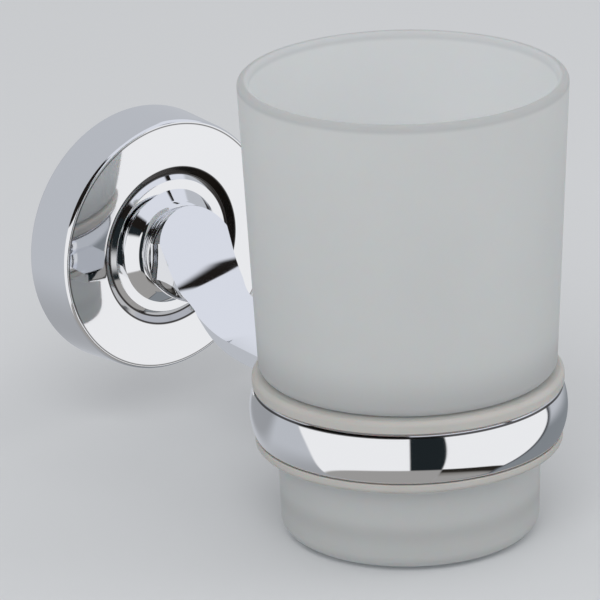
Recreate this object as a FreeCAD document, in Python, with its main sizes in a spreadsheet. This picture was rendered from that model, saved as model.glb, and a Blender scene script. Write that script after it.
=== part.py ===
import FreeCAD, Part
import math
import os
import re

import Sketcher

# Wall-mounted tumbler holder in millimetres.
# The wall is the plane Y = 0, the holder stands out along -Y and +Z is up.
# The origin is the centre of the rosette's back, on the axis of the arm's round post.

SIZES = {
    # rosette, the hollow wall cover
    "rosette_back_radius": 28.0,
    "rosette_rim_radius": 27.3,
    "rosette_depth": 11.7,
    "rosette_edge_round": 0.6,
    "rosette_crown": 0.5,
    "rosette_wall": 2.7,
    "rosette_web": 3.4,
    "rosette_inner_slope": 1.2,
    "ring_groove_radius": 17.2,
    "ring_groove_outer_slope": 1.55,
    "ring_groove_inner_slope": 1.1,
    "ring_groove_depth": 0.93,
    "hook_width": 14.0,
    "hook_depth": 1.6,
    "hook_setback": 0.6,
    "hook_clearance": 0.4,
    # wall bracket, which the rosette hangs on
    "bracket_room": 1.3,
    "bracket_flare": 2.3,
    "bracket_depth": 5.2,
    "bracket_plate": 2.5,
    "bracket_rim": 2.6,
    "bracket_eye_radius": 6.0,
    "bracket_edge_break": 0.4,
    "slot_radius": 2.3,
    "slot_length": 7.0,
    "slot_spacing": 26.0,
    # grub screw in the underside of the rosette
    "grub_radius": 2.0,
    "grub_length": 4.0,
    "grub_tip_radius": 0.6,
    "grub_setback": 3.6,
    "grub_gap": 0.05,
    "grub_boss_radius": 3.2,
    "grub_boss_height": 1.1,
    "grub_socket_flats": 2.0,
    "grub_socket_depth": 1.8,
    # collar of turned rings
    "collar_base_radius": 12.4,
    "collar_cone_radius": 10.5,
    "collar_cone_width": 1.6,
    "collar_dome_width": 1.0,
    "collar_groove_radius": 8.8,
    "collar_groove_width": 0.8,
    "collar_ring_radius": 9.7,
    "collar_ring_width": 1.3,
    "collar_neck_width": 0.4,
    "collar_break": 0.3,
    "spigot_radius": 7.5,
    "spigot_clearance": 0.05,
    # arm
    "post_radius": 10.0,
    "post_half_width": 9.2,
    "head_length": 5.1,
    "face_angle": 26.6,
    "bend_radius": 22.0,
    "strap_half_width": 7.65,
    "strap_thickness": 3.4,
    "strap_angle": 3.5,
    "strap_drop": 13.2,
    "strap_belly": 0.2,
    # screw, washer and pin behind the arm
    "screw_radius": 3.0,
    "screw_length": 11.0,
    "screw_head_radius": 5.0,
    "screw_head_height": 3.6,
    "screw_socket_flats": 5.0,
    "screw_socket_depth": 2.4,
    "screw_end_gap": 0.6,
    "screw_clearance": 0.15,
    "washer_radius": 5.2,
    "washer_thickness": 1.4,
    "washer_gap": 0.8,
    "pin_radius": 1.0,
    "pin_length": 6.2,
    "pin_offset": 5.6,
    "pin_recess": 0.2,
    "pin_end_gap": 0.3,
    "pin_clearance": 0.05,
    # hoop
    "reach": 90.8,
    "hoop_radius": 31.2,
    "hoop_crown": 1.05,
    "hoop_height": 10.5,
    "hoop_wall": 2.1,
    "hoop_edge_break": 0.3,
    "hoop_rise": 0.95,
    # liner
    "liner_clearance": 0.2,
    "liner_wall": 1.3,
    "liner_top_lip": 2.5,
    "liner_top_overhang": 0.4,
    "liner_bottom_lip": 2.0,
    "liner_bottom_overhang": 0.0,
    "liner_round": 1.2,
    # tumbler
    "tumbler_gap": 0.2,
    "tumbler_clearance": 0.4,
    "tumbler_height": 61.3,
    "tumbler_rim_flare": 2.75,
    "tumbler_rim_wall": 2.4,
    "tumbler_hip_overhang": 3.05,
    "tumbler_hip_round": 2.2,
    "tumbler_shelf": 1.75,
    "tumbler_shelf_slope": 3.35,
    "tumbler_stem_height": 33.9,
    "tumbler_stem_taper": 0.9,
    "tumbler_stem_wall": 2.7,
    "tumbler_foot_round": 3.2,
    "tumbler_foot_ring": 4.1,
    "tumbler_base": 7.0,
    "tumbler_floor_round": 4.0,
    "tumbler_punt_depth": 1.0,
    # shared
    "overrun": 2.0,
}

doc = FreeCAD.newDocument("tumbler_holder")
sheet = doc.addObject("Spreadsheet::Sheet", "Sizes")
for row, (alias, size) in enumerate(SIZES.items(), 1):
    sheet.set(f"A{row}", alias)
    sheet.set(f"B{row}", str(size))
    sheet.setAlias(f"B{row}", alias)
doc.recompute()


# Expressions

def bound(text):
    # points the size names of an expression at the sheet
    return re.sub(r"[a-z_]+", lambda word: f"Sizes.{word[0]}" if word[0] in SIZES else word[0], str(text))


def value(text):
    return float(sheet.evalExpression(bound(text)))


def arc_radius(half_chord, rise):
    # radius of an arc that rises by `rise` over a chord of twice `half_chord`
    return f"((({half_chord})^2 + ({rise})^2) / (2 * ({rise})))"


# Distances from the wall, along -Y
seat_depth = "(rosette_depth + rosette_crown)"
web_depth = f"({seat_depth} - rosette_web)"
collar_ring_start = "(collar_cone_width + collar_dome_width + collar_groove_width)"
collar_length = f"({collar_ring_start} + collar_ring_width + collar_neck_width)"
shoulder_depth = f"({seat_depth} + {collar_length})"
under_head_depth = f"({web_depth} - washer_thickness)"
screw_end_depth = f"({under_head_depth} + screw_length)"

# Radii about the post's axis
hollow_back_radius = "(rosette_back_radius - rosette_wall)"
hollow_front_radius = "(rosette_rim_radius - rosette_wall)"
ring_groove_floor_radius = "(ring_groove_radius - ring_groove_outer_slope)"
bracket_front_radius = f"({hollow_front_radius} - bracket_room)"
bracket_back_radius = f"({bracket_front_radius} - bracket_flare)"
screw_hole_radius = "(screw_radius + screw_clearance)"
pin_hole_radius = "(pin_radius + pin_clearance)"

# Hoop, liner and tumbler about the tumbler's axis, from the hoop's mid-height
hoop_drop = "(strap_drop + strap_thickness / 2 - hoop_rise)"
hoop_bore_radius = "(hoop_radius - hoop_wall)"
hoop_half_height = "(hoop_height / 2)"
hoop_bulge_end = f"({hoop_half_height} - hoop_edge_break)"
hoop_bulge_radius = arc_radius(hoop_bulge_end, "hoop_crown")
hoop_reach = "(reach - hoop_radius - hoop_crown)"
liner_bore_radius = f"({hoop_bore_radius} - liner_clearance - liner_wall)"
liner_lip_inner = f"({hoop_half_height} + liner_clearance)"
liner_top = f"({liner_lip_inner} + liner_top_lip)"
liner_bottom = f"(-({liner_lip_inner} + liner_bottom_lip))"
tumbler_seat = f"({liner_top} + tumbler_gap)"


# Building blocks

def new_body(label, across="0", back="0", up="0"):
    body = doc.addObject("PartDesign::Body", label)
    body.Label = label
    for direction, place in (("x", across), ("y", back), ("z", up)):
        if place != "0":
            body.setExpression(f"Placement.Base.{direction}", bound(place))
    return body


def new_sketch(body, name, role, shift=("0", "0", "0")):
    # a sketch on one of the body's origin planes, its own origin moved by `shift` in the plane's directions
    sketch = body.newObject("Sketcher::SketchObject", name)
    plane = next(item for item in body.Origin.OriginFeatures if item.Role == role)
    sketch.AttachmentSupport = [(plane, "")]
    sketch.MapMode = "FlatFace"
    for direction, distance in zip("xyz", shift):
        if distance != "0":
            sketch.setExpression(f"AttachmentOffset.Base.{direction}", bound(distance))
    return sketch


def set_size(sketch, kind, places, text, name):
    index = sketch.addConstraint(Sketcher.Constraint(kind, *places, value(text)))
    sketch.renameConstraint(index, name)
    sketch.setExpression(f"Constraints.{name}", bound(text))


def place_point(sketch, edge, end, across, up, name):
    # ties the end of an edge to its distances from the sketch's origin
    if value(across) == 0:
        sketch.addConstraint(Sketcher.Constraint("PointOnObject", edge, end, -2))
    else:
        set_size(sketch, "DistanceX", (-1, 1, edge, end), across, f"{name}_across")
    if value(up) == 0:
        sketch.addConstraint(Sketcher.Constraint("PointOnObject", edge, end, -1))
    else:
        set_size(sketch, "DistanceY", (-1, 1, edge, end), up, f"{name}_up")


def draw_outline(sketch, corners):
    # a corner is (across, up), or (across, up, radius, side) where an arc that turns left or right leaves it
    points = [FreeCAD.Vector(value(corner[0]), value(corner[1]), 0) for corner in corners]
    ends = []
    for corner, start, finish in zip(corners, points, points[1:] + points[:1]):
        if len(corner) == 2:
            edge = sketch.addGeometry(Part.LineSegment(start, finish))
            ends.append((edge, 1, 2))
            continue
        radius = value(corner[2])
        turn = 1 if corner[3] == "left" else -1
        chord = finish - start
        inward = FreeCAD.Vector(-chord.y, chord.x, 0).normalize() * turn
        centre = start + chord * 0.5 + inward * math.sqrt(max(radius ** 2 - (chord.Length / 2) ** 2, 0))
        first, last = (start, finish) if turn > 0 else (finish, start)
        circle = Part.Circle(centre, FreeCAD.Vector(0, 0, 1), radius)
        angles = [math.atan2(point.y - centre.y, point.x - centre.x) for point in (first, last)]
        edge = sketch.addGeometry(Part.ArcOfCircle(circle, *angles))
        ends.append((edge, 1, 2) if turn > 0 else (edge, 2, 1))
    for (edge, start, finish), (next_edge, next_start, next_finish) in zip(ends, ends[1:] + ends[:1]):
        sketch.addConstraint(Sketcher.Constraint("Coincident", edge, finish, next_edge, next_start))
    for number, (corner, (edge, start, finish)) in enumerate(zip(corners, ends)):
        place_point(sketch, edge, start, corner[0], corner[1], f"corner_{number}")
        if len(corner) > 2:
            set_size(sketch, "Radius", (edge,), corner[2], f"arc_{number}")


def draw_circle(sketch, across, up, radius, name="circle"):
    centre = FreeCAD.Vector(value(across), value(up), 0)
    edge = sketch.addGeometry(Part.Circle(centre, FreeCAD.Vector(0, 0, 1), value(radius)))
    place_point(sketch, edge, 3, across, up, name)
    set_size(sketch, "Radius", (edge,), radius, f"{name}_radius")


def draw_hexagon(sketch, across, up, flats):
    # a hexagonal socket, with its corners on the sketch's own axis of sight
    corner = f"(({flats}) / sqrt(3))"
    turns = [(f"cos({60 * step})", f"sin({60 * step})") for step in range(6)]
    draw_outline(sketch, [(f"{across} + {corner} * {c}", f"{up} + {corner} * {s}") for c, s in turns])


def spin(body, sketch, axis, name):
    feature = body.newObject("PartDesign::Revolution", name)
    feature.Profile = sketch
    feature.ReferenceAxis = (sketch, [axis])
    feature.Angle = 360
    doc.recompute()


def pad(body, sketch, length, name, backwards=False):
    feature = body.newObject("PartDesign::Pad", name)
    feature.Profile = sketch
    feature.setExpression("Length", bound(length))
    feature.Reversed = backwards
    doc.recompute()


def pocket(body, sketch, length, name, backwards=False, symmetric=False):
    before = body.Shape.Volume
    feature = body.newObject("PartDesign::Pocket", name)
    feature.Profile = sketch
    feature.setExpression("Length", bound(length))
    feature.Reversed = backwards
    if symmetric:
        feature.SideType = "Symmetric"
    doc.recompute()
    if not body.Shape.Volume < before:
        raise RuntimeError(f"{body.Label}: {name} cut nothing")


# Rosette, a hollow cup whose slightly crowned face has a V-shaped ring groove

def make_rosette():
    body = new_body("rosette")
    profile = new_sketch(body, "rosette_profile", "YZ_Plane")
    face_radius = "((rosette_rim_radius^2 - ring_groove_radius^2) / (2 * rosette_crown))"
    draw_outline(profile, [
        ("0", hollow_back_radius),
        ("0", "rosette_back_radius"),
        ("-(rosette_depth - rosette_edge_round)", "rosette_rim_radius", "rosette_edge_round", "left"),
        ("-rosette_depth", "rosette_rim_radius - rosette_edge_round", face_radius, "left"),
        (f"-{seat_depth}", "ring_groove_radius"),
        (f"-({seat_depth} - ring_groove_depth)", ring_groove_floor_radius),
        (f"-{seat_depth}", f"{ring_groove_floor_radius} - ring_groove_inner_slope"),
        (f"-{seat_depth}", screw_hole_radius),
        (f"-{web_depth}", screw_hole_radius),
        (f"-{web_depth}", f"{hollow_front_radius} - rosette_inner_slope"),
        (f"-({web_depth} - rosette_inner_slope)", hollow_front_radius),
    ])
    spin(body, profile, "H_Axis", "rosette_cup")

    # the hook at the top of the hollow drops behind the bracket's flared edge
    hook_back = "(hook_setback + hook_depth)"
    bracket_edge = f"({bracket_back_radius} + bracket_flare * {hook_back} / bracket_depth)"
    hook_tip = f"({bracket_edge} + hook_clearance)"
    hook = new_sketch(body, "hook_outline", "XZ_Plane", ("0", "0", "hook_setback"))
    root_radius = f"({hollow_back_radius} + rosette_wall / 2)"
    draw_outline(hook, [
        ("-hook_width / 2", f"sqrt({hook_tip}^2 - hook_width^2 / 4)", hook_tip, "right"),
        ("hook_width / 2", f"sqrt({hook_tip}^2 - hook_width^2 / 4)"),
        ("hook_width / 2", f"sqrt({root_radius}^2 - hook_width^2 / 4)", root_radius, "left"),
        ("-hook_width / 2", f"sqrt({root_radius}^2 - hook_width^2 / 4)"),
    ])
    pad(body, hook, "hook_depth", "hook")

    # boss and tapped hole for the grub screw, at the bottom
    boss_top = f"({hollow_front_radius} - grub_boss_height)"
    boss = new_sketch(body, "boss_circle", "XY_Plane", ("0", "0", f"-{boss_top}"))
    draw_circle(boss, "0", "-grub_setback", "grub_boss_radius")
    pad(body, boss, "grub_boss_height + rosette_wall / 2", "grub_boss", backwards=True)
    hole = new_sketch(body, "grub_circle", "XY_Plane", ("0", "0", f"-({boss_top} - overrun)"))
    draw_circle(hole, "0", "-grub_setback", "grub_radius")
    pocket(body, hole, f"rosette_back_radius - {boss_top} + 2 * overrun", "grub_hole")

    pin_hole = new_sketch(body, "pin_circle", "XZ_Plane", ("0", "0", f"{web_depth} - overrun"))
    draw_circle(pin_hole, "0", "-pin_offset", pin_hole_radius)
    pocket(body, pin_hole, "rosette_web + 2 * overrun", "pin_hole", backwards=True)
    return body


# Wall bracket, a dished plate with a flared edge and two slots

def make_wall_bracket():
    body = new_body("wall_bracket")
    dish_radius = f"({bracket_back_radius} - bracket_rim)"
    profile = new_sketch(body, "bracket_profile", "YZ_Plane")
    draw_outline(profile, [
        ("0", "bracket_eye_radius"),
        ("0", bracket_back_radius),
        ("-bracket_depth", bracket_front_radius),
        ("-bracket_depth", f"{dish_radius} + bracket_edge_break"),
        ("-(bracket_depth - bracket_edge_break)", dish_radius),
        ("-bracket_plate", dish_radius),
        ("-bracket_plate", "bracket_eye_radius"),
    ])
    spin(body, profile, "H_Axis", "bracket_plate_disc")
    slots = new_sketch(body, "slot_outlines", "XZ_Plane", ("0", "0", "-overrun"))
    for side, sign in (("left", "-"), ("right", "")):
        middle = f"{sign}slot_spacing / 2"
        straight = "(slot_length / 2 - slot_radius)"
        west, east = f"({middle} - {straight})", f"({middle} + {straight})"
        draw_slot(slots, west, east, "slot_radius", side)
    pocket(body, slots, "bracket_plate + 2 * overrun", "slots", backwards=True)
    return body


def draw_slot(sketch, west, east, radius, name):
    # a slot that lies along the sketch's first direction
    up = FreeCAD.Vector(0, 0, 1)
    size = value(radius)
    left, right = FreeCAD.Vector(value(west), 0, 0), FreeCAD.Vector(value(east), 0, 0)
    rise = FreeCAD.Vector(0, size, 0)
    quarter = math.pi / 2
    west_arc = sketch.addGeometry(Part.ArcOfCircle(Part.Circle(left, up, size), quarter, 3 * quarter))
    east_arc = sketch.addGeometry(Part.ArcOfCircle(Part.Circle(right, up, size), -quarter, quarter))
    bottom = sketch.addGeometry(Part.LineSegment(left - rise, right - rise))
    top = sketch.addGeometry(Part.LineSegment(right + rise, left + rise))
    ring = [west_arc, bottom, east_arc, top]
    for edge, next_edge in zip(ring, ring[1:] + ring[:1]):
        sketch.addConstraint(Sketcher.Constraint("Tangent", edge, 2, next_edge, 1))
    place_point(sketch, west_arc, 3, west, "0", f"{name}_west")
    place_point(sketch, east_arc, 3, east, "0", f"{name}_east")
    set_size(sketch, "Radius", (west_arc,), radius, f"{name}_radius")


# Collar, turned rings on a bore that takes the arm's spigot

def make_post_collar():
    body = new_body("post_collar", back=f"-{seat_depth}")
    neck_start = f"({collar_ring_start} + collar_ring_width)"
    bore = "(spigot_radius + spigot_clearance)"
    profile = new_sketch(body, "collar_profile", "YZ_Plane")
    draw_outline(profile, [
        ("0", bore),
        ("0", "collar_base_radius"),
        ("-collar_cone_width", "collar_cone_radius"),
        ("-(collar_cone_width + collar_dome_width)", "collar_groove_radius"),
        (f"-{collar_ring_start}", "collar_groove_radius"),
        (f"-{collar_ring_start}", "collar_ring_radius - collar_break"),
        (f"-({collar_ring_start} + collar_break)", "collar_ring_radius"),
        (f"-({neck_start} - collar_break)", "collar_ring_radius"),
        (f"-{neck_start}", "collar_ring_radius - collar_break"),
        (f"-{neck_start}", "collar_groove_radius"),
        (f"-{collar_length}", "collar_groove_radius"),
        (f"-{collar_length}", bore),
    ])
    spin(body, profile, "H_Axis", "collar_rings")
    return body


# Arm, a round post that turns into a flat strap under one long concave slide

# distance along the arm, width, depth and belly of the underside, each as a share of its full change
ARM_SECTION_SHARES = (
    (0.00, 1.00, 0.00, 1.00),
    (0.11, 0.70, 0.00, 1.00),
    (0.26, 0.16, 0.25, 0.52),
    (0.38, 0.00, 0.61, 0.18),
    (0.51, 0.00, 0.83, 0.04),
    (0.75, 0.00, 0.94, 0.00),
    (1.00, 0.00, 1.00, 0.00),
)


def make_arm():
    body = new_body("arm")
    post_side = "sqrt(post_radius^2 - post_half_width^2)"
    strap_bottom = "(strap_drop + strap_thickness)"
    loft_length = f"({hoop_reach} + hoop_wall - {shoulder_depth})"
    sections = []
    for number, (along, wide, deep, round_under) in enumerate(ARM_SECTION_SHARES):
        half_width = f"(strap_half_width + (post_half_width - strap_half_width) * {wide})"
        side = f"({post_side} + ({strap_bottom} - {post_side}) * {deep})"
        belly = f"(strap_belly + (post_radius - {post_side} - strap_belly) * {round_under})"
        crown = f"sqrt(post_radius^2 - {half_width}^2)"
        section = new_sketch(body, f"arm_section_{number}", "XZ_Plane",
                             ("0", "0", f"{shoulder_depth} + {loft_length} * {along}"))
        draw_outline(section, [
            (half_width, crown, "post_radius", "left"),
            (f"-{half_width}", crown),
            (f"-{half_width}", f"-{side}", arc_radius(half_width, belly), "left"),
            (half_width, f"-{side}"),
        ])
        sections.append(section)
    loft = body.newObject("PartDesign::AdditiveLoft", "arm_bar")
    loft.Profile = sections[0]
    loft.Sections = sections[1:]
    doc.recompute()

    cut_slide(body)
    cut_hoop_seat(body)

    spigot = new_sketch(body, "spigot_circle", "XZ_Plane", ("0", "0", seat_depth))
    draw_circle(spigot, "0", "0", "spigot_radius")
    pad(body, spigot, collar_length, "spigot")
    screw_hole = new_sketch(body, "screw_circle", "XZ_Plane", ("0", "0", f"{seat_depth} - overrun"))
    draw_circle(screw_hole, "0", "0", screw_hole_radius)
    screw_depth = f"{screw_end_depth} + screw_end_gap - {seat_depth} + overrun"
    pocket(body, screw_hole, screw_depth, "screw_hole", backwards=True)
    pin_hole = new_sketch(body, "pin_circle", "XZ_Plane", ("0", "0", f"{seat_depth} - overrun"))
    draw_circle(pin_hole, "0", "-pin_offset", pin_hole_radius)
    pin_depth = f"{web_depth} + pin_recess + pin_length + pin_end_gap - {seat_depth} + overrun"
    pocket(body, pin_hole, pin_depth, "pin_hole", backwards=True)
    return body


def cut_slide(body):
    # one flat face, a wide bend and a nearly level run, cut right across the bar
    sketch = new_sketch(body, "slide_outline", "YZ_Plane")
    head_top = "(post_radius + overrun)"
    top_reach = f"({shoulder_depth} + head_length - {head_top} * tan(face_angle))"
    end_reach = f"({hoop_reach} + hoop_wall)"
    end_drop = "(strap_drop + hoop_wall * tan(strap_angle))"

    top = FreeCAD.Vector(-value(top_reach), value(head_top), 0)
    end = FreeCAD.Vector(-value(end_reach), -value(end_drop), 0)
    lean, slope = math.radians(value("face_angle")), math.radians(value("strap_angle"))
    down = FreeCAD.Vector(-math.sin(lean), -math.cos(lean), 0)
    home = FreeCAD.Vector(math.cos(slope), math.sin(slope), 0)
    gap = end - top
    run = (gap.x * home.y - gap.y * home.x) / (down.x * home.y - down.y * home.x)
    corner = top + down * run
    tangent = value("bend_radius") * math.tan((math.pi / 2 - lean - slope) / 2)
    bend_start, bend_end = corner - down * tangent, corner - home * tangent
    centre = bend_start + FreeCAD.Vector(-math.cos(lean), math.sin(lean), 0) * value("bend_radius")
    angles = [math.atan2(point.y - centre.y, point.x - centre.x) for point in (bend_end, bend_start)]

    face = sketch.addGeometry(Part.LineSegment(top, bend_start))
    circle = Part.Circle(centre, FreeCAD.Vector(0, 0, 1), value("bend_radius"))
    bend = sketch.addGeometry(Part.ArcOfCircle(circle, *angles))
    level = sketch.addGeometry(Part.LineSegment(bend_end, end))
    above = FreeCAD.Vector(end.x, top.y, 0)
    side = sketch.addGeometry(Part.LineSegment(end, above))
    lid = sketch.addGeometry(Part.LineSegment(above, top))
    sketch.addConstraint(Sketcher.Constraint("Tangent", face, 2, bend, 2))
    sketch.addConstraint(Sketcher.Constraint("Tangent", bend, 1, level, 1))
    for first, second in ((level, side), (side, lid), (lid, face)):
        sketch.addConstraint(Sketcher.Constraint("Coincident", first, 2, second, 1))
    sketch.addConstraint(Sketcher.Constraint("Vertical", side))
    sketch.addConstraint(Sketcher.Constraint("Horizontal", lid))
    place_point(sketch, face, 1, f"-{top_reach}", head_top, "top")
    place_point(sketch, level, 2, f"-{end_reach}", f"-{end_drop}", "end")
    set_size(sketch, "Radius", (bend,), "bend_radius", "bend")
    set_size(sketch, "Angle", (-1, level), "strap_angle - 180", "strap_slope")
    set_size(sketch, "Angle", (-1, face), "-90 - face_angle", "face_slope")
    pocket(body, sketch, "2 * (post_half_width + overrun)", "slide", symmetric=True)


def cut_hoop_seat(body):
    # the strap ends on the crowned outside of the hoop
    sketch = new_sketch(body, "hoop_seat_outline", "YZ_Plane", ("-reach", f"-{hoop_drop}", "0"))
    draw_outline(sketch, [
        ("0", f"-{hoop_bulge_end}"),
        ("hoop_radius", f"-{hoop_bulge_end}", hoop_bulge_radius, "left"),
        ("hoop_radius", hoop_bulge_end),
        ("0", hoop_bulge_end),
    ])
    before = body.Shape.Volume
    seat = body.newObject("PartDesign::Groove", "hoop_seat")
    seat.Profile = sketch
    seat.ReferenceAxis = (sketch, ["V_Axis"])
    seat.Angle = 360
    doc.recompute()
    if not body.Shape.Volume < before:
        raise RuntimeError("arm: hoop_seat cut nothing")


# Screw, washer and pin behind the arm, and the grub screw

def make_arm_screw():
    body = new_body("arm_screw", back=f"-{under_head_depth}")
    profile = new_sketch(body, "screw_profile", "YZ_Plane")
    draw_outline(profile, [
        ("screw_head_height", "0"),
        ("screw_head_height", "screw_head_radius"),
        ("0", "screw_head_radius"),
        ("0", "screw_radius"),
        ("-screw_length", "screw_radius"),
        ("-screw_length", "0"),
    ])
    spin(body, profile, "H_Axis", "screw_blank")
    socket = new_sketch(body, "socket_outline", "XZ_Plane", ("0", "0", "-(screw_head_height + overrun)"))
    draw_hexagon(socket, "0", "0", "screw_socket_flats")
    pocket(body, socket, "screw_socket_depth + overrun", "socket", backwards=True)
    return body


def make_arm_washer():
    body = new_body("arm_washer", back=f"-{under_head_depth}")
    ring = new_sketch(body, "washer_circles", "XZ_Plane")
    draw_circle(ring, "0", "0", "washer_radius", "outer")
    draw_circle(ring, "0", "0", screw_hole_radius, "inner")
    pad(body, ring, "washer_thickness", "washer_ring")
    split = new_sketch(body, "split_outline", "XZ_Plane", ("0", "0", "-overrun"))
    draw_outline(split, [
        ("-washer_gap / 2", "0"),
        ("washer_gap / 2", "0"),
        ("washer_gap / 2", "washer_radius + overrun"),
        ("-washer_gap / 2", "washer_radius + overrun"),
    ])
    pocket(body, split, "washer_thickness + 2 * overrun", "split", backwards=True)
    return body


def make_locating_pin():
    body = new_body("locating_pin")
    circle = new_sketch(body, "pin_circle", "XZ_Plane", ("0", "0", f"{web_depth} + pin_recess"))
    draw_circle(circle, "0", "-pin_offset", "pin_radius")
    pad(body, circle, "pin_length", "pin")
    return body


def make_grub_screw():
    # its cone bears on the bracket's flared edge, just clear of it
    bearing = "(grub_setback + grub_tip_radius)"
    tip_depth = f"({bracket_back_radius} + bracket_flare * {bearing} / bracket_depth + grub_gap)"
    body = new_body("grub_screw", back="-grub_setback", up=f"-{tip_depth}")
    profile = new_sketch(body, "grub_profile", "XZ_Plane")
    thread = "(grub_radius - grub_gap)"
    draw_outline(profile, [
        ("0", "0"),
        ("grub_tip_radius", "0"),
        (thread, f"-({thread} - grub_tip_radius)"),
        (thread, "-grub_length"),
        ("0", "-grub_length"),
    ])
    spin(body, profile, "V_Axis", "grub_blank")
    socket = new_sketch(body, "socket_outline", "XY_Plane", ("0", "0", "-(grub_length + overrun)"))
    draw_hexagon(socket, "0", "0", "grub_socket_flats")
    pocket(body, socket, "grub_socket_depth + overrun", "socket", backwards=True)
    return body


# Hoop, liner and tumbler, all about the tumbler's axis

def make_hoop():
    body = new_body("hoop", back="-reach", up=f"-{hoop_drop}")
    profile = new_sketch(body, "hoop_profile", "XZ_Plane")
    draw_outline(profile, [
        (hoop_bore_radius, f"-{hoop_half_height}"),
        ("hoop_radius - hoop_edge_break", f"-{hoop_half_height}"),
        ("hoop_radius", f"-{hoop_bulge_end}", hoop_bulge_radius, "left"),
        ("hoop_radius", hoop_bulge_end),
        ("hoop_radius - hoop_edge_break", hoop_half_height),
        (hoop_bore_radius, hoop_half_height),
    ])
    spin(body, profile, "V_Axis", "hoop_band")
    return body


def make_liner():
    body = new_body("liner", back="-reach", up=f"-{hoop_drop}")
    top_radius = "(hoop_radius + liner_top_overhang)"
    bottom_radius = "(hoop_radius + liner_bottom_overhang)"
    web_radius = f"({hoop_bore_radius} - liner_clearance)"
    profile = new_sketch(body, "liner_profile", "XZ_Plane")
    draw_outline(profile, [
        (liner_bore_radius, liner_bottom),
        (f"{bottom_radius} - liner_round", liner_bottom, "liner_round", "left"),
        (bottom_radius, f"{liner_bottom} + liner_round"),
        (bottom_radius, f"-{liner_lip_inner}"),
        (web_radius, f"-{liner_lip_inner}"),
        (web_radius, liner_lip_inner),
        (top_radius, liner_lip_inner),
        (top_radius, f"{liner_top} - liner_round", "liner_round", "left"),
        (f"{top_radius} - liner_round", liner_top),
        (liner_bore_radius, liner_top),
    ])
    spin(body, profile, "V_Axis", "liner_ring")
    return body


def make_tumbler():
    body = new_body("tumbler", back="-reach", up=f"-{hoop_drop}")
    stem_radius = f"({liner_bore_radius} - tumbler_clearance)"
    foot = f"({tumbler_seat} - tumbler_stem_height)"
    rim = f"({tumbler_seat} + tumbler_height)"
    rim_round = "(tumbler_rim_wall / 2)"
    floor = f"({foot} + tumbler_base)"
    hip_radius = f"({stem_radius} + tumbler_hip_overhang)"
    rim_radius = f"({hip_radius} + tumbler_rim_flare)"
    foot_radius = f"({stem_radius} - tumbler_stem_taper)"
    foot_flat = f"({foot_radius} - tumbler_foot_round)"
    punt_radius = f"({foot_flat} - tumbler_foot_ring)"
    inner_stem = f"({stem_radius} - tumbler_stem_wall)"
    inner_foot = f"({foot_radius} - tumbler_stem_wall)"
    inner_shelf = f"({tumbler_seat} + tumbler_shelf)"
    profile = new_sketch(body, "tumbler_profile", "XZ_Plane")
    draw_outline(profile, [
        ("0", f"{foot} + tumbler_punt_depth"),
        (f"{punt_radius} - tumbler_punt_depth", f"{foot} + tumbler_punt_depth"),
        (punt_radius, foot),
        (foot_flat, foot, "tumbler_foot_round", "left"),
        (foot_radius, f"{foot} + tumbler_foot_round"),
        (stem_radius, tumbler_seat),
        (f"{hip_radius} - tumbler_hip_round", tumbler_seat, "tumbler_hip_round", "left"),
        (hip_radius, f"{tumbler_seat} + tumbler_hip_round"),
        (rim_radius, f"{rim} - {rim_round}", rim_round, "left"),
        (f"{rim_radius} - {rim_round}", rim, rim_round, "left"),
        (f"{rim_radius} - tumbler_rim_wall", f"{rim} - {rim_round}"),
        (f"{hip_radius} - tumbler_rim_wall", f"{inner_shelf} + tumbler_shelf_slope"),
        (inner_stem, inner_shelf),
        (inner_foot, f"{floor} + tumbler_floor_round", "tumbler_floor_round", "right"),
        (f"{inner_foot} - tumbler_floor_round", floor),
        ("0", floor),
    ])
    spin(body, profile, "V_Axis", "tumbler_glass")
    return body


def main():
    pieces = [
        make_rosette(),
        make_wall_bracket(),
        make_post_collar(),
        make_arm(),
        make_arm_screw(),
        make_arm_washer(),
        make_locating_pin(),
        make_grub_screw(),
        make_hoop(),
        make_liner(),
        make_tumbler(),
    ]
    doc.recompute()
    for item in doc.Objects:
        if {"Invalid", "Error"} & set(item.State):
            raise RuntimeError(f"{item.Name} did not build: {item.State}")
    for piece in pieces:
        if piece.Shape.isNull() or not piece.Shape.isValid():
            raise RuntimeError(f"{piece.Label} has no valid shape")
    os.makedirs("parts", exist_ok=True)
    for piece in pieces:
        piece.Shape.exportStep(os.path.join("parts", f"{piece.Label}.step"))
        box = piece.Shape.BoundBox
        print(piece.Label, round(piece.Shape.Volume), [round(size, 2) for size in (
            box.XMin, box.XMax, box.YMin, box.YMax, box.ZMin, box.ZMax)])


main()
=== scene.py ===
import bmesh
import bpy
import math
from mathutils import Matrix, Vector


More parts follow.
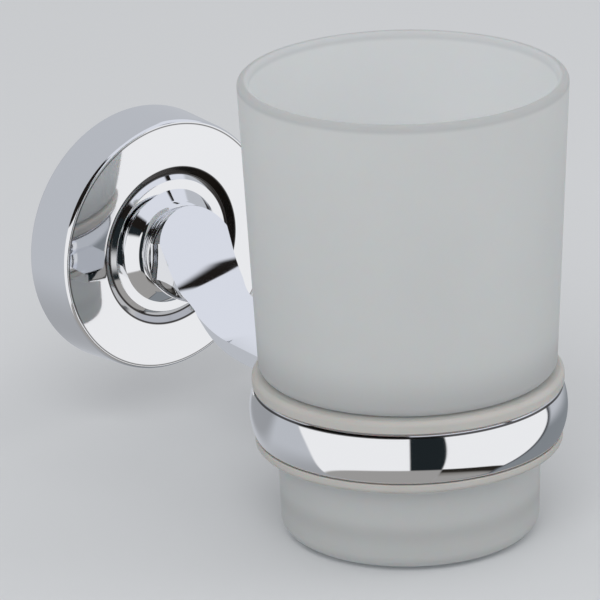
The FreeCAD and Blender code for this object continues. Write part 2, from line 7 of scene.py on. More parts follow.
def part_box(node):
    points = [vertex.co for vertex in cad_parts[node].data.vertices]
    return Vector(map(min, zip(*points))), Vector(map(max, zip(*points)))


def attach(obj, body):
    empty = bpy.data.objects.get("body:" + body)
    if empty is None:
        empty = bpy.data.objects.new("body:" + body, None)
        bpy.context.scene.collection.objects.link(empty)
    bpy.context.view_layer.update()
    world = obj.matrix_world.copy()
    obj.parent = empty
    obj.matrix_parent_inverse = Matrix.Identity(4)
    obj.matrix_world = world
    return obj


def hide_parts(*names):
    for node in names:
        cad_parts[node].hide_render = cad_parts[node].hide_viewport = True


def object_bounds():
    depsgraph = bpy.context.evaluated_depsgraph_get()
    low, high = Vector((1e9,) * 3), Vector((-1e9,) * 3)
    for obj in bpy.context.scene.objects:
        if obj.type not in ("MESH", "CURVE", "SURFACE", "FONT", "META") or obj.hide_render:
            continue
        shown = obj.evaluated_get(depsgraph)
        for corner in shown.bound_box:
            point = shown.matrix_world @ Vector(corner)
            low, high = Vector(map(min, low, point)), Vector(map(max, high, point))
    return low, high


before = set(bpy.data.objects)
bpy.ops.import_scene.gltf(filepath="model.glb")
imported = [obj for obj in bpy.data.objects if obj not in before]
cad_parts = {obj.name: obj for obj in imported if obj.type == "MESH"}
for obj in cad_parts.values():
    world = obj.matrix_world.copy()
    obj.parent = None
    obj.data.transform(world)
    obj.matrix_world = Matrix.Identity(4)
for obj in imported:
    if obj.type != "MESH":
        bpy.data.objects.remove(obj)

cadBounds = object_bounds()
mm = 0.001
print("frame loaded:", ", ".join(sorted(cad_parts)))


def tone(red, green, blue):
    # a screen colour from 0 to 255 as linear light
    def linear(level):
        share = level / 255
        return share / 12.92 if share <= 0.04045 else ((share + 0.055) / 1.055) ** 2.4
    return linear(red), linear(green), linear(blue), 1.0


# Shader maths

class Link:
    # one output of a node; sums and products of links add Math nodes
    def __init__(self, shading, socket):
        self.shading = shading
        self.socket = socket

    def math(self, operation, *others):
        values = {number: other for number, other in enumerate((self, *others))}
        return self.shading.add("ShaderNodeMath", {"operation": operation}, values)

    def __add__(self, other):
        return self.math("ADD", other)

    def __sub__(self, other):
        return self.math("SUBTRACT", other)

    def __mul__(self, other):
        return self.math("MULTIPLY", other)

    def __truediv__(self, other):
        return self.math("DIVIDE", other)

    def __rsub__(self, other):
        return self.shading.add("ShaderNodeMath", {"operation": "SUBTRACT"}, {0: other, 1: self})

    __radd__ = __add__
    __rmul__ = __mul__

    def between(self, low, high):
        # 0 below `low`, 1 above `high`, smooth between them
        return self.shading.add("ShaderNodeMapRange", {"interpolation_type": "SMOOTHSTEP"},
                                {"Value": self, "From Min": low, "From Max": high})


class Shading:
    # the node tree of one material or of the world
    def __init__(self, owner):
        owner.use_nodes = True
        self.tree = owner.node_tree
        self.tree.nodes.clear()

    def add(self, kind, settings=None, values=None, output=0):
        node = self.tree.nodes.new(kind)
        for name, setting in (settings or {}).items():
            setattr(node, name, setting)
        for name, value in (values or {}).items():
            if isinstance(value, Link):
                self.tree.links.new(value.socket, node.inputs[name])
            else:
                node.inputs[name].default_value = value
        return Link(self, node.outputs[output]) if len(node.outputs) else None

    def outputs(self, link, *names):
        # further outputs of the node that `link` comes from
        sockets = link.socket.node.outputs
        return [Link(self, sockets[name]) for name in names]

    def mix(self, share, first, second):
        return self.add("ShaderNodeMix", {"data_type": "RGBA"}, {0: share, 6: first, 7: second}, 2)

    def place(self):
        return self.add("ShaderNodeTexCoord", output="Object")

    def parts(self, vector):
        return self.outputs(self.add("ShaderNodeSeparateXYZ", values={0: vector}), *"XYZ")

    def noise(self, place, scale, detail=2.0, roughness=0.5):
        return self.add("ShaderNodeTexNoise", values={
            "Vector": place, "Scale": scale, "Detail": detail, "Roughness": roughness})

    def bump(self, height, distance, strength=1.0):
        return self.add("ShaderNodeBump", values={
            "Height": height, "Distance": distance, "Strength": strength})


def newMaterial(name, build):
    material = bpy.data.materials.new(name)
    shading = Shading(material)
    surface = build(shading)
    shading.add("ShaderNodeOutputMaterial", values={"Surface": surface})
    return material


# Mesh tools

meshQuality = {
    "roundSegments": 6,
    "merge": 0.001 * mm,
    "crease": 35,  # degrees, sharper edges stay sharp
}

quarterRise = 1 - math.sqrt(0.5)  # how far a quarter circle stands off its chord, as a share of its radius
towardsViewer = Matrix.Rotation(math.radians(90), 4, "X")  # turns a lathe piece's +Z towards -Y


class Profile:
    # a line drawn at (radius, along) and then turned about its axis, like work on a lathe
    def __init__(self, radius, along):
        self.mesh = bmesh.new()
        self.first = self.tip = self.mesh.verts.new((radius, 0, along))
        self.rounds = []

    def line(self, radius, along, rounding=0):
        self.tip = bmesh.ops.extrude_vert_indiv(self.mesh, verts=[self.tip])["verts"][0]
        self.tip.co = (radius, 0, along)
        if rounding:
            self.rounds.append((self.tip, rounding))

    def arc(self, radius, along, rise, steps, rounding=0):
        # the arc stands `rise` to the left of the straight way, or to its right where that is negative
        start, end = self.tip.co.copy(), Vector((radius, 0, along))
        chord = end - start
        size = ((chord.length / 2) ** 2 + rise ** 2) / (2 * rise)
        left = Vector((-chord.z, 0, chord.x)).normalized()
        centre = (start + end) / 2 + left * (rise - size)
        turn = 2 * math.asin(min(chord.length / 2 / abs(size), 1))
        last = bmesh.ops.spin(self.mesh, geom=[self.tip], cent=centre,
                              axis=(0, math.copysign(1, rise), 0), angle=turn, steps=steps,
                              use_duplicate=False)["geom_last"]
        self.tip = next(item for item in last if isinstance(item, bmesh.types.BMVert))
        if rounding:
            self.rounds.append((self.tip, rounding))

    def close(self):
        self.mesh.edges.new((self.tip, self.first))

    def turned(self, steps):
        for corner, rounding in self.rounds:
            bmesh.ops.bevel(self.mesh, geom=[corner], offset=rounding, offset_type="OFFSET",
                            segments=meshQuality["roundSegments"], profile=0.5,
                            affect="VERTICES", material=-1)
        bmesh.ops.spin(self.mesh, geom=self.mesh.verts[:] + self.mesh.edges[:], cent=(0, 0, 0),
                       axis=(0, 0, 1), angle=2 * math.pi, steps=steps, use_merge=True,
                       use_duplicate=False)
        bmesh.ops.remove_doubles(self.mesh, verts=self.mesh.verts, dist=meshQuality["merge"])
        bmesh.ops.recalc_face_normals(self.mesh, faces=self.mesh.faces)
        return self.mesh


def addPiece(mesh, name, body, material, nodes):
    data = bpy.data.meshes.new(name)
    mesh.to_mesh(data)
    mesh.free()
    data.shade_smooth()
    data.materials.append(material)
    piece = bpy.data.objects.new(name, data)
    bpy.context.collection.objects.link(piece)
    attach(piece, body)
    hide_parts(*nodes)
    return piece


def finishPiece(mesh, name, body, material, nodes):
    piece = addPiece(mesh, name, body, material, nodes)
    piece.data.set_sharp_from_angle(angle=math.radians(meshQuality["crease"]))
    weighted = piece.modifiers.new("weighted", "WEIGHTED_NORMAL")
    weighted.keep_sharp = True


def middle(node):
    low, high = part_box(node)
    return (low + high) / 2


def half(node):
    low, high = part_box(node)
    return (high - low) / 2


# Materials; each noise is its scale, its detail and, where it isn't 0.5, its roughness

chromeLook = {
    "colour": tone(240, 241, 243),
    "roughness": 0.035,
    "smear": 0.05,
    "smearNoise": (45, 4, 0.6),
    "smearRange": (0.45, 0.8),
    "ripple": 0.0015 * mm,
    "rippleNoise": (60, 1),
    # painted shade: the colour and added roughness where `shade` darkens the plating
    "shadeColour": tone(42, 38, 35),
    "shadeRoughness": 0.15,
}


def chromePlate(shading, shade=None, shape=None):
    # `shade` gives where painted shade darkens the plating, `shape` how far a bump lowers it, in metres
    look = chromeLook
    place = shading.place()
    smear = shading.noise(place, *look["smearNoise"]).between(*look["smearRange"])
    height = shading.noise(place, *look["rippleNoise"]) * look["ripple"]
    if shape:
        height = height - shape(shading, place)
    colour = look["colour"]
    roughness = smear * look["smear"] + look["roughness"]
    if shade:
        dark = shade(shading, place)
        colour = shading.mix(dark, colour, look["shadeColour"])
        roughness = roughness + dark * look["shadeRoughness"]
    return shading.add("ShaderNodeBsdfPrincipled", values={
        "Base Color": colour,
        "Metallic": 1.0,
        "Roughness": roughness,
        "Normal": shading.bump(height, 1.0),
    })


slideLook = {
    "crownRadius": 290 * mm,
    "dipFrom": -35 * mm,
    "dipSoft": 4 * mm,
    "dipSlope": 0.105,
}


def slideShape(shading, place):
    # bump only: the slide face is crowned from side to side and its level run dips to the ring
    look = slideLook
    x, y = shading.parts(place)[:2]
    crown = x * x * (0.5 / look["crownRadius"])
    past = look["dipFrom"] - y
    return crown + past * past.between(0, look["dipSoft"]) * look["dipSlope"]


grooveShade = {
    "outer": 17.15 * mm,
    "inner": 15.65 * mm,
    "line": 0.22 * mm,
    "lineDepth": 0.95,
    "lowDepth": 0.4,
    "rim": 26.5 * mm,
    "rimLine": 0.13 * mm,
    "rimDepth": 0.8,
    "back": -11 * mm,
    "soft": 0.1 * mm,
    "right": 0.7,
    "up": 0.714,
    "sideFrom": (-0.1, 0.45),
}


def ringGrooveShade(shading, place):
    # painted shade, for the groove's shadow and dark reflections: the groove's outer side is darkest above
    # and to the right, and its two edges and the rim carry dark lines
    look = grooveShade
    soft = look["soft"]
    x, y, z = shading.parts(place)
    radius = (x * x + z * z).math("SQRT")

    def ring(inner, outer):
        return radius.between(inner - soft, inner + soft) * (
            1 - radius.between(outer - soft, outer + soft))

    def line(edge, width):
        return ring(edge - width, edge + width)

    turn = (x * look["right"] + z * look["up"]) / radius
    side = ring(look["inner"], look["outer"]) * (
        turn.between(*look["sideFrom"]) * (1 - look["lowDepth"]) + look["lowDepth"])
    rim = line(look["rim"], look["rimLine"]) * look["rimDepth"]
    edges = line(look["inner"], look["line"]) + line(look["outer"], look["line"])
    dark = side.math("MAXIMUM", edges * look["lineDepth"] + rim)
    return dark * (1 - y.between(look["back"] - soft, look["back"]))


hoopShade = {
    "from": 0.75 * mm,
    "to": 0.45 * mm,
    "soft": 0.12 * mm,
    "depth": 0.9,
}


def hoopEdgeShade(shading, place):
    # painted shade: a dark line along the upper edge of the band
    look = hoopShade
    z = shading.parts(place)[2]
    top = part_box("hoop")[1].z
    start, end = top - look["from"], top - look["to"]
    return z.between(start - look["soft"], start) * (1 - z.between(end, end + look["soft"])) * look["depth"]


glassLook = {
    "colourLow": tone(213, 214, 211),
    "colourHigh": tone(221, 222, 219),
    "cloudNoise": (55, 3),
    "grainNoise": (2600, 2, 0.6),
    "roughness": 0.5,
    "grainRoughness": 0.1,
    "grain": 0.01 * mm,
    "grainStrength": 0.5,
    "ior": 1.45,
    "transmission": 0.1,
    "subsurface": 0.3,
    "subsurfaceDepth": 2 * mm,
    "glow": tone(236, 238, 240),
    "glowShare": 0.42,
    "glowCloud": 0.06,
    # darker bands at the rim's top, and painted shade just over the ring and round the thick base
    "rimColour": tone(188, 190, 188),
    "rimFrom": (-2.0 * mm, -1.1 * mm),
    "shoulder": tone(192, 192, 189),
    "shoulderFrom": (-1 * mm, 0),
    "shoulderTo": (1 * mm, 11 * mm),
    "base": tone(205, 205, 202),
    "baseHeight": (6 * mm, 9 * mm),
    # painted light: the inner faces glow a little, for light scattered through the glass;
    # radius and height of the wall's, the shelf's, the stem's
    "lightInside": (0.19, 0.197, 0.212, 1),
    "taper": 0.048,
    "innerWall": (31.2 * mm, 31.8 * mm),
    "wallFrom": (2 * mm, 6 * mm),
    "innerShelf": (27.6 * mm, 27.9 * mm),
    "shelfFrom": (1 * mm, 2 * mm),
    "innerStem": (25.2 * mm, 25.8 * mm),
    "stemFrom": (5 * mm, 6 * mm),
    "stemShare": 0.75,
}


def frostedGlass(shading):
    look = glassLook
    place = shading.place()
    cloud = shading.noise(place, *look["cloudNoise"])
    grain = shading.noise(place, *look["grainNoise"])
    x, y, z = shading.parts(place)
    low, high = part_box("tumbler")
    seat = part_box("liner")[1].z
    fromAxis = y - middle("tumbler").y
    radius = (x * x + fromAxis * fromAxis).math("SQRT")
    upright = radius + (high.z - z) * look["taper"]

    def above(level, start, end):
        return z.between(level + start, level + end)

    # painted light: where the inner faces glow
    wall = (1 - upright.between(*look["innerWall"])) * above(seat, *look["wallFrom"])
    shelf = (1 - radius.between(*look["innerShelf"])) * above(seat, *look["shelfFrom"])
    stem = (1 - radius.between(*look["innerStem"])) * above(low.z, *look["stemFrom"])
    inside = wall.math("MAXIMUM", shelf).math("MAXIMUM", stem * look["stemShare"])

    colour = shading.mix(cloud, look["colourLow"], look["colourHigh"])
    # a darker band at the rim's top, then painted shade just over the ring and round the thick base
    colour = shading.mix(above(high.z, *look["rimFrom"]), colour, look["rimColour"])
    shoulder = above(seat, *look["shoulderFrom"]) * (1 - above(seat, *look["shoulderTo"]))
    colour = shading.mix(shoulder, colour, look["shoulder"])
    start, end = look["baseHeight"]
    offBase = (z - low.z - (start + end) / 2).math("ABSOLUTE")
    colour = shading.mix(1 - offBase.between(0, end - start), colour, look["base"])

    satin = shading.add("ShaderNodeBsdfPrincipled", values={
        "Base Color": colour,
        "Emission Color": shading.mix(inside, (0, 0, 0, 1), look["lightInside"]),
        "Emission Strength": 1.0,
        "Roughness": grain * look["grainRoughness"] + look["roughness"],
        "IOR": look["ior"],
        "Transmission Weight": look["transmission"],
        "Subsurface Weight": look["subsurface"],
        "Subsurface Scale": look["subsurfaceDepth"],
        "Normal": shading.bump(grain, look["grain"], look["grainStrength"]),
    })
    glow = shading.add("ShaderNodeBsdfTranslucent", values={"Color": look["glow"]})
    glowShare = cloud * look["glowCloud"] + look["glowShare"]
    return shading.add("ShaderNodeMixShader", values={0: glowShare, 1: satin, 2: glow})


linerLook = {
    "colourLow": tone(185, 184, 179),
    "colourHigh": tone(194, 193, 189),
    "cloudNoise": (120, 3),
    "grainNoise": (900, 2),
    "roughness": 0.4,
    "cloudRoughness": 0.15,
    "grain": 0.01 * mm,
    "grainStrength": 0.4,
    "subsurface": 0.3,
    "subsurfaceDepth": 1.5 * mm,
}


def linerPlastic(shading):
    look = linerLook
    place = shading.place()
    cloud = shading.noise(place, *look["cloudNoise"])
    grain = shading.noise(place, *look["grainNoise"])
    return shading.add("ShaderNodeBsdfPrincipled", values={
        "Base Color": shading.mix(cloud, look["colourLow"], look["colourHigh"]),
        "Roughness": cloud * look["cloudRoughness"] + look["roughness"],
        "Subsurface Weight": look["subsurface"],
        "Subsurface Scale": look["subsurfaceDepth"],
        "Normal": shading.bump(grain, look["grain"], look["grainStrength"]),
    })


zincLook = {
    "colour": tone(208, 209, 212),
    "blotchColour": tone(184, 186, 190),
    "blotchNoise": (90, 3),
    "grainNoise": (700, 4, 0.65),
    "roughness": 0.35,
    "blotchRoughness": 0.2,
    "grain": 0.03 * mm,
    "grainStrength": 0.7,
}


def castZinc(shading):
    look = zincLook
    place = shading.place()
    blotch = shading.noise(place, *look["blotchNoise"])
    grain = shading.noise(place, *look["grainNoise"])
    return shading.add("ShaderNodeBsdfPrincipled", values={
        "Base Color": shading.mix(blotch, look["colour"], look["blotchColour"]),
        "Metallic": 1.0,
        "Roughness": blotch * look["blotchRoughness"] + look["roughness"],
        "Normal": shading.bump(grain, look["grain"], look["grainStrength"]),
    })


steelLook = {
    "colour": tone(190, 192, 194),
    "streakColour": tone(165, 167, 170),
    "streakNoise": (1500, 2),
    "roughness": 0.22,
    "streakRoughness": 0.15,
    "grain": 0.01 * mm,
    "grainStrength": 0.5,
}


def turnedSteel(shading):
    look = steelLook
    streak = shading.noise(shading.place(), *look["streakNoise"])
    return shading.add("ShaderNodeBsdfPrincipled", values={
        "Base Color": shading.mix(streak, look["colour"], look["streakColour"]),
        "Metallic": 1.0,
        "Roughness": streak * look["streakRoughness"] + look["roughness"],
        "Normal": shading.bump(streak, look["grain"], look["grainStrength"]),
    })


chrome = newMaterial("chrome", chromePlate)
armChrome = newMaterial("arm chrome", lambda shading: chromePlate(shading, shape=slideShape))
hoopChrome = newMaterial("hoop chrome", lambda shading: chromePlate(shading, hoopEdgeShade))
rosetteChrome = newMaterial("rosette chrome", lambda shading: chromePlate(shading, ringGrooveShade))
glass = newMaterial("frosted glass", frostedGlass)
plastic = newMaterial("liner plastic", linerPlastic)
zinc = newMaterial("cast zinc", castZinc)
steel = newMaterial("screw steel", turnedSteel)
print("materials made")

# Rosette

rosetteSizes = {
    "faceDepth": 11.7 * mm,
    "crown": 0.5 * mm,
    "faceBulge": 0.008,  # the face's bulge as a share of its width
    "rimRadius": 27.3 * mm,
    "edgeRound": 1.0 * mm,
    "backRound": 0.2 * mm,
    "wall": 2.7 * mm,
    "web": 3.4 * mm,
    "innerSlope": 1.2 * mm,
    "holeRadius": 3.15 * mm,
    "grooveRadius": 17.2 * mm,
    "grooveFloor": 15.65 * mm,
    "grooveInner": 14.45 * mm,
    "grooveDepth": 0.93 * mm,
    "grooveRound": 0.12 * mm,
    "faceSteps": 16,
    "turnSteps": 192,
}


def makeRosette():
    size = rosetteSizes
    backRadius = half("rosette").x
    seat = size["faceDepth"] + size["crown"]
    web = seat - size["web"]
    innerBack = backRadius - size["wall"]
    innerFront = size["rimRadius"] - size["wall"]
    faceRise = (size["rimRadius"] - size["grooveRadius"]) * size["faceBulge"]
    cup = Profile(innerBack, 0)
    cup.line(backRadius, 0, size["backRound"])
    cup.line(size["rimRadius"], size["faceDepth"], size["edgeRound"])
    cup.arc(size["grooveRadius"], seat, -faceRise, size["faceSteps"], size["grooveRound"])
    cup.line(size["grooveFloor"], seat - size["grooveDepth"], size["grooveRound"])
    cup.line(size["grooveInner"], seat, size["grooveRound"])
    cup.line(size["holeRadius"], seat)
    cup.line(size["holeRadius"], web)
    cup.line(innerFront - size["innerSlope"], web)
    cup.line(innerFront, web - size["innerSlope"])
    cup.close()
    mesh = cup.turned(size["turnSteps"])
    bmesh.ops.transform(mesh, matrix=towardsViewer, verts=mesh.verts)
    finishPiece(mesh, "rosette_cover", "holder", rosetteChrome, ["rosette"])


makeRosette()
print("rosette made")

# Collar

collarSizes = {
    "coneRadius": 10.5 * mm,
    "coneWidth": 1.6 * mm,
    "domeWidth": 1.0 * mm,
    "domeRise": 0.15 * mm,
    "grooveRadius": 8.8 * mm,
    "grooveWidth": 0.8 * mm,
    "ringRadius": 9.7 * mm,
    "ringWidth": 1.3 * mm,
    "ringRound": 0.4 * mm,
    "bore": 7.55 * mm,
    "domeSteps": 8,
    "turnSteps": 128,
}


def makeCollar():
    size = collarSizes
    low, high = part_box("post_collar")
    seat, front = -high.y, -low.y
    dome = seat + size["coneWidth"]
    groove = dome + size["domeWidth"]
    ring = groove + size["grooveWidth"]
    neck = ring + size["ringWidth"]
    collar = Profile(size["bore"], seat)
    collar.line(half("post_collar").x, seat)
    collar.line(size["coneRadius"], dome)
    collar.arc(size["grooveRadius"], groove, -size["domeRise"], size["domeSteps"])
    collar.line(size["grooveRadius"], ring)
    collar.line(size["ringRadius"], ring, size["ringRound"])
    collar.line(size["ringRadius"], neck, size["ringRound"])
    collar.line(size["grooveRadius"], neck)
    collar.line(size["grooveRadius"], front)
    collar.line(size["bore"], front)
    collar.close()
    mesh = collar.turned(size["turnSteps"])
    bmesh.ops.transform(mesh, matrix=towardsViewer, verts=mesh.verts)
    finishPiece(mesh, "turned_collar", "holder", chrome, ["post_collar"])


makeCollar()
print("collar made")

# Arm

armSizes = {
    "merge": 0.002 * mm,
}


def makeArm():
    # the solid's mesh with its corners merged; each face keeps the normals of the true surface
    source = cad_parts["arm"].data
    normals = [normal.vector.copy() for normal in source.corner_normals]
    mesh = bmesh.new()
    mesh.from_mesh(source)
    bmesh.ops.remove_doubles(mesh, verts=mesh.verts, dist=armSizes["merge"])
    arm = addPiece(mesh, "curved_arm", "holder", armChrome, ["arm"])
    if len(arm.data.loops) == len(normals):
        arm.data.normals_split_custom_set(normals)


makeArm()
print("arm made")

# Hoop, liner and tumbler stand about one upright axis

ringAxis = middle("hoop")

hoopSizes = {
    "wall": 2.1 * mm,
    "crown": 1.05 * mm,
    "edgeRound": 0.35 * mm,
    "crownSteps": 28,
    "turnSteps": 192,
}


def makeHoop():
    size = hoopSizes
    radius = half("hoop").x - size["crown"]
    up = half("hoop").z
    bore = radius - size["wall"]
    inset = size["edgeRound"]
    band = Profile(bore, -up)
    band.line(radius - inset, -up)
    band.line(radius, inset - up)
    band.arc(radius, up - inset, -size["crown"], size["crownSteps"])
    band.line(radius - inset, up)
    band.line(bore, up)
    band.close()
    mesh = band.turned(size["turnSteps"])
    bmesh.ops.translate(mesh, vec=ringAxis, verts=mesh.verts)
    finishPiece(mesh, "crowned_hoop", "holder", hoopChrome, ["hoop"])


makeHoop()
print("hoop made")

linerSizes = {
    "boreRadius": 27.6 * mm,
    "webRadius": 28.9 * mm,
    "lipGap": 0.2 * mm,
    "bottomRadius": 31.2 * mm,
    "round": 1.1 * mm,
    "innerRound": 0.4 * mm,
    "turnSteps": 160,
}


def makeLiner():
    size = linerSizes
    low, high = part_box("liner")
    hoopLow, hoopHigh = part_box("hoop")
    topRadius = half("liner").x
    under, over = hoopLow.z - size["lipGap"], hoopHigh.z + size["lipGap"]
    ring = Profile(size["boreRadius"], low.z)
    ring.line(size["bottomRadius"], low.z, size["round"])
    ring.line(size["bottomRadius"], under, size["innerRound"] / 2)
    ring.line(size["webRadius"], under)
    ring.line(size["webRadius"], over)
    ring.line(topRadius, over, size["innerRound"] / 2)
    ring.line(topRadius, high.z, size["round"])
    ring.line(size["boreRadius"], high.z, size["innerRound"])
    ring.close()
    mesh = ring.turned(size["turnSteps"])
    bmesh.ops.translate(mesh, vec=(ringAxis.x, ringAxis.y, 0), verts=mesh.verts)
    finishPiece(mesh, "snap_liner", "seat_ring", plastic, ["liner"])


makeLiner()
print("liner made")

tumblerSizes = {
    "rimWall": 2.4 * mm,
    "hipRadius": 30.25 * mm,
    "hipRound": 2.2 * mm,
    "hipGap": 0.2 * mm,
    "stemRadius": 27.2 * mm,
    "stemWall": 2.7 * mm,
    "shelf": 1.75 * mm,
    "shelfSlope": 3.35 * mm,
    "shelfTopRound": 2 * mm,
    "shelfFootRound": 1.5 * mm,
    "footRadius": 26.3 * mm,
    "footRound": 3.2 * mm,
    "footRing": 4.1 * mm,
    "punt": 1.0 * mm,
    "puntRound": 0.6 * mm,
    "base": 7.0 * mm,
    "floorRound": 4.0 * mm,
    "quarterSteps": 10,
    "rimSteps": 14,
    "turnSteps": 160,
}


def makeTumbler():
    size = tumblerSizes
    low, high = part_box("tumbler")
    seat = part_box("liner")[1].z + size["hipGap"]
    rim = half("tumbler").x
    rimRound = size["rimWall"] / 2
    foot = low.z
    floor = foot + size["base"]
    flat = size["footRadius"] - size["footRound"]
    punt = flat - size["footRing"]
    innerStem = size["stemRadius"] - size["stemWall"]
    innerFoot = size["footRadius"] - size["stemWall"]
    shelf = seat + size["shelf"]
    quarter = size["quarterSteps"]
    cup = Profile(0, foot + size["punt"])
    cup.line(punt - size["punt"], foot + size["punt"], size["puntRound"])
    cup.line(punt, foot, size["puntRound"])
    cup.line(flat, foot)
    cup.arc(size["footRadius"], foot + size["footRound"], -size["footRound"] * quarterRise, quarter)
    cup.line(size["stemRadius"], seat)
    cup.line(size["hipRadius"] - size["hipRound"], seat)
    cup.arc(size["hipRadius"], seat + size["hipRound"], -size["hipRound"] * quarterRise, quarter)
    cup.line(rim, high.z - rimRound)
    cup.arc(rim - size["rimWall"], high.z - rimRound, -rimRound, size["rimSteps"])
    cup.line(size["hipRadius"] - size["rimWall"], shelf + size["shelfSlope"], size["shelfTopRound"])
    cup.line(innerStem, shelf, size["shelfFootRound"])
    cup.line(innerFoot, floor + size["floorRound"])
    cup.arc(innerFoot - size["floorRound"], floor, size["floorRound"] * quarterRise, quarter)
    cup.line(0, floor)
    mesh = cup.turned(size["turnSteps"])
    bmesh.ops.translate(mesh, vec=(ringAxis.x, ringAxis.y, 0), verts=mesh.verts)
    finishPiece(mesh, "frosted_tumbler", "glass", glass, ["tumbler"])


makeTumbler()
print("tumbler made")

# Pieces behind the rosette keep their own solids

for node, material in (("wall_bracket", zinc), ("grub_screw", steel), ("arm_screw", steel),
                       ("arm_washer", steel), ("locating_pin", steel)):
    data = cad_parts[node].data
    data.materials.clear()
    data.materials.append(material)
print("fixings finished")

# Studio: a pale floor, two soft lamps, and the cards and tones that polished metal mirrors
# Angles and heights are in degrees: round the compass from +X, from -290 to 70, and up from the level

studio = {
    "floorDrop": 0.5 * mm,
    "floorWidth": 8.0,
    "floorFade": (0.5, 2.5),
    "floorColour": tone(214, 216, 218),
    "skyColour": tone(222, 223, 225),
    # what everything but mirrors is lit by, from below to above
    "fillLow": (0.5, 0.5, 0.5, 1),
    "fillHigh": (0.72, 0.72, 0.73, 1),
    "fillRange": (-0.4, 0.9),
    # two white cards with a dark slit between them; each outer end bends to smaller angles, by a
    # factor of the squared way from a middle height, up to a largest way
    "seam": 70,
    "cardLeft": (-206, -129),
    "cardRight": (-103.3, -13),
    "leanLeft": (-0.011, -20, 32),
    "leanRight": (-0.012, 0, 50),
    "cardSoft": 1.5,
    "slitSoft": 0.9,
    "cardColour": tone(246, 246, 247),
    "slitColour": tone(31, 37, 40),
    # upper ends, highest above the slit, and the dark bands over the left card and the slit
    "cardTop": (23, -118, -0.0013),
    "topSoft": 1.2,
    "darkTop": (68, 74),
    "darkTopRight": (34, 38),
    # lower ends and the ground under them
    "footLeft": (-40, -130, -0.0015),
    "footLeftSoft": 1.6,
    "footRight": (-40, -103, -0.1),
    "footRightSoft": 0.7,
    "footLine": tone(42, 39, 36),
    "footFade": (5, 9.5),
    "groundColour": tone(160, 158, 156),
    "groundNear": tone(124, 121, 117),
    "groundRise": (-58, -48),
    # the tinted card over the right one, with a dark stripe that ends at a slanted edge
    "tintColour": tone(226, 229, 238),
    "stripeFrom": (-55, -51),
    "stripeTo": (-46.6, -45.6),
    "stripeSlant": 0.2,
    "stripeLow": (29, 33),
    "stripeHigh": (45.5, 48.5),
    "stripeColour": tone(30, 27, 25),
    # how far the tinted card reaches past the right card's end
    "overHeight": (27, 31),
    "overFrom": (-60, -50),
    "overTo": (63, 69),
    "overSlant": 0.5,
    # behind the wall's plane: a dimmer round patch, a dim low part, and a line beside the right card
    "backColour": tone(191, 194, 200),
    "backLow": tone(163, 165, 169),
    "backRise": (-50, -20),
    "dimColour": tone(157, 159, 163),
    "dimMiddle": (-268, 2),
    "dimSize": (38, 40),
    "dimFade": (0.3, 0.75),
    "rightLow": tone(132, 137, 142),
    "rightRise": (-20, -5),
    "rightTo": (40, 55),
    "edgeColour": tone(72, 74, 78),
    "edgeFade": (1, 7),
    "edgeTop": (2, 12),
}


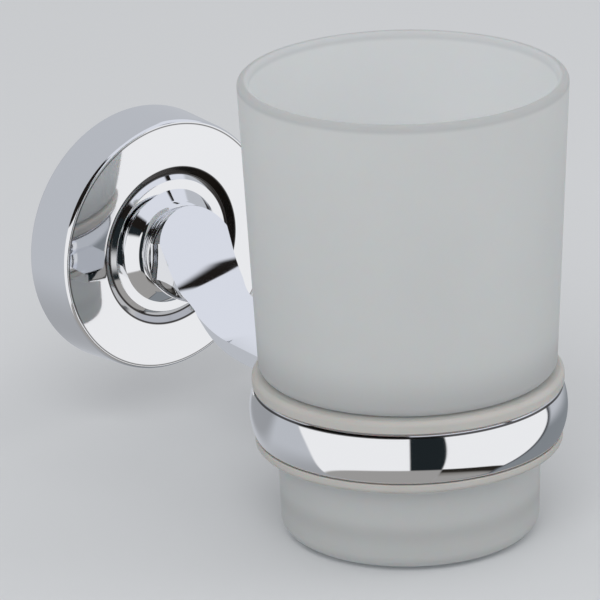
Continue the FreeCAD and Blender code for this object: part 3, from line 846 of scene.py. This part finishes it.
def makeWorld():
    world = bpy.data.worlds.new("studio")
    bpy.context.scene.world = world
    world.cycles.sampling_method = "NONE"
    shading = Shading(world)
    look = studio
    x, y, z = shading.parts(shading.add("ShaderNodeTexCoord", output="Generated"))
    turn = y.math("ARCTAN2", x) * (180 / math.pi)
    angle = turn - turn.math("GREATER_THAN", look["seam"]) * 360
    height = z.math("ARCSINE") * (180 / math.pi)

    def edge(value, soft):
        return value.between(-soft, soft)

    def curve(level, middle, bend):
        away = angle - middle
        return away * away * bend + level

    def lean(level, bend, middle, most):
        away = (height - middle).math("ABSOLUTE").math("MINIMUM", most)
        return away * away * bend + level

    pastLeftEnd = angle - lean(look["cardLeft"][0], *look["leanLeft"])
    pastRightEnd = angle - lean(look["cardRight"][1], *look["leanRight"])
    front = edge(pastLeftEnd, look["cardSoft"]) * (1 - edge(pastRightEnd, look["cardSoft"]))
    afterLeft = edge(angle - look["cardLeft"][1], look["slitSoft"])
    rightSide = edge(angle - look["cardRight"][0], look["slitSoft"])
    seen = shading.mix(afterLeft * (1 - rightSide), look["cardColour"], look["slitColour"])

    # over the cards
    stripeAngle = angle - height * look["stripeSlant"]
    stripe = stripeAngle.between(*look["stripeFrom"]) * (1 - stripeAngle.between(*look["stripeTo"]))
    stripe = stripe * height.between(*look["stripeLow"]) * (1 - height.between(*look["stripeHigh"]))
    tinted = shading.mix(stripe, look["tintColour"], look["stripeColour"])
    beforeSlit = 1 - afterLeft
    dark = (1 - height.between(*look["darkTop"])) * beforeSlit
    darkRight = (1 - height.between(*look["darkTopRight"])) * (1 - beforeSlit)
    leftTop = shading.mix(dark + darkRight, look["tintColour"], look["stripeColour"])
    over = shading.mix(rightSide, leftTop, tinted)
    seen = shading.mix(edge(height - curve(*look["cardTop"]), look["topSoft"]), seen, over)

    # under the cards
    ground = shading.mix(height.between(*look["groundRise"]), look["groundColour"], look["groundNear"])
    belowLeft = edge(curve(*look["footLeft"]) - height, look["footLeftSoft"])
    seen = shading.mix(belowLeft * (1 - rightSide), seen, look["groundColour"])
    level, start, slope = look["footRight"]
    below = (angle - start) * slope + level - height
    foot = shading.mix(below.between(*look["footFade"]), look["footLine"], ground)
    seen = shading.mix(edge(below, look["footRightSoft"]) * rightSide, seen, foot)

    # behind the wall's plane
    back = shading.mix(height.between(*look["backRise"]), look["backLow"], look["backColour"])
    offAngle = (angle - look["dimMiddle"][0]) / look["dimSize"][0]
    offHeight = (height - look["dimMiddle"][1]) / look["dimSize"][1]
    dim = 1 - (offAngle * offAngle + offHeight * offHeight).between(*look["dimFade"])
    back = shading.mix(dim, back, look["dimColour"])
    lowRight = rightSide * (1 - height.between(*look["rightRise"]))
    lowRight = lowRight * (1 - angle.between(*look["rightTo"]))
    back = shading.mix(lowRight, back, look["rightLow"])
    outline = edge(pastRightEnd, look["cardSoft"]) * (1 - pastRightEnd.between(*look["edgeFade"]))
    outline = outline * (1 - height.between(*look["edgeTop"]))
    back = shading.mix(outline, back, look["edgeColour"])
    seen = shading.mix(front, back, seen)

    overRight = height.between(*look["overHeight"]) * angle.between(*look["overFrom"])
    overRight = overRight * (1 - (angle + height * look["overSlant"]).between(*look["overTo"]))
    seen = shading.mix(overRight, seen, tinted)

    path = shading.add("ShaderNodeLightPath")
    camera, glossy = shading.outputs(path, "Is Camera Ray", "Is Glossy Ray")
    fill = shading.mix(z.between(*look["fillRange"]), look["fillLow"], look["fillHigh"])
    seen = shading.mix(glossy, fill, seen)
    seen = shading.mix(camera, seen, look["skyColour"])
    background = shading.add("ShaderNodeBackground", values={"Color": seen, "Strength": 1.0})
    shading.add("ShaderNodeOutputWorld", values={"Surface": background})


def floorPaint(shading):
    # fades into the pale surroundings far off, and can't be seen from below
    x, y = shading.parts(shading.place())[:2]
    far = (x * x + y * y).math("SQRT").between(*studio["floorFade"])
    below = shading.add("ShaderNodeNewGeometry", output="Backfacing")
    return shading.add("ShaderNodeMixShader", values={
        0: far.math("MAXIMUM", below),
        1: shading.add("ShaderNodeBsdfDiffuse", values={"Color": studio["floorColour"]}),
        2: shading.add("ShaderNodeBsdfTransparent"),
    })


def makeFloor():
    material = newMaterial("studio floor", floorPaint)
    mesh = bmesh.new()
    bmesh.ops.create_grid(mesh, x_segments=1, y_segments=1, size=studio["floorWidth"] / 2)
    height = cadBounds[0].z - studio["floorDrop"]
    bmesh.ops.translate(mesh, vec=(0, 0, height), verts=mesh.verts)
    data = bpy.data.meshes.new("floor")
    mesh.to_mesh(data)
    mesh.free()
    data.materials.append(material)
    floor = bpy.data.objects.new("floor", data)
    bpy.context.collection.objects.link(floor)
    floor.visible_glossy = False


lamps = {
    "key": {"place": (-0.9, -0.9, 1.2), "size": 1.0, "power": 9},
    "side": {"place": (1.1, -0.8, 0.7), "size": 1.0, "power": 3},
}


def makeLamps():
    for name, lamp in lamps.items():
        data = bpy.data.lights.new(name, "AREA")
        data.energy = lamp["power"]
        data.size = lamp["size"]
        place = Vector(lamp["place"])
        light = bpy.data.objects.new(name, data)
        light.location = place
        light.rotation_euler = (ringAxis - place).to_track_quat("-Z", "Y").to_euler()
        light.visible_glossy = False
        bpy.context.collection.objects.link(light)


makeWorld()
makeFloor()
makeLamps()
print("studio lit")

# Camera

viewpoint = {
    "azimuth": math.radians(-38.115),
    "elevation": math.radians(19.559),
    "roll": math.radians(-1.415),
    "distance": 1125.53 * mm,
    "across": 34.977 * mm,
    "up": -14.609 * mm,
    "lens": 315.1,
}


def makeCamera():
    turn, rise, roll = viewpoint["azimuth"], viewpoint["elevation"], viewpoint["roll"]
    right = Vector((math.cos(turn), math.sin(turn), 0))
    back = Vector((math.sin(turn) * math.cos(rise), -math.cos(turn) * math.cos(rise), math.sin(rise)))
    up = back.cross(right)
    across = right * math.cos(roll) + up * math.sin(roll)
    upward = up * math.cos(roll) - right * math.sin(roll)
    data = bpy.data.cameras.new("camera")
    data.lens = viewpoint["lens"]
    camera = bpy.data.objects.new("camera", data)
    place = across * viewpoint["across"] + upward * viewpoint["up"] + back * viewpoint["distance"]
    camera.matrix_world = Matrix.Translation(place) @ Matrix((across, upward, back)).transposed().to_4x4()
    bpy.context.collection.objects.link(camera)
    bpy.context.scene.camera = camera


makeCamera()
bpy.context.scene.view_settings.view_transform = "Standard"
print("camera set")
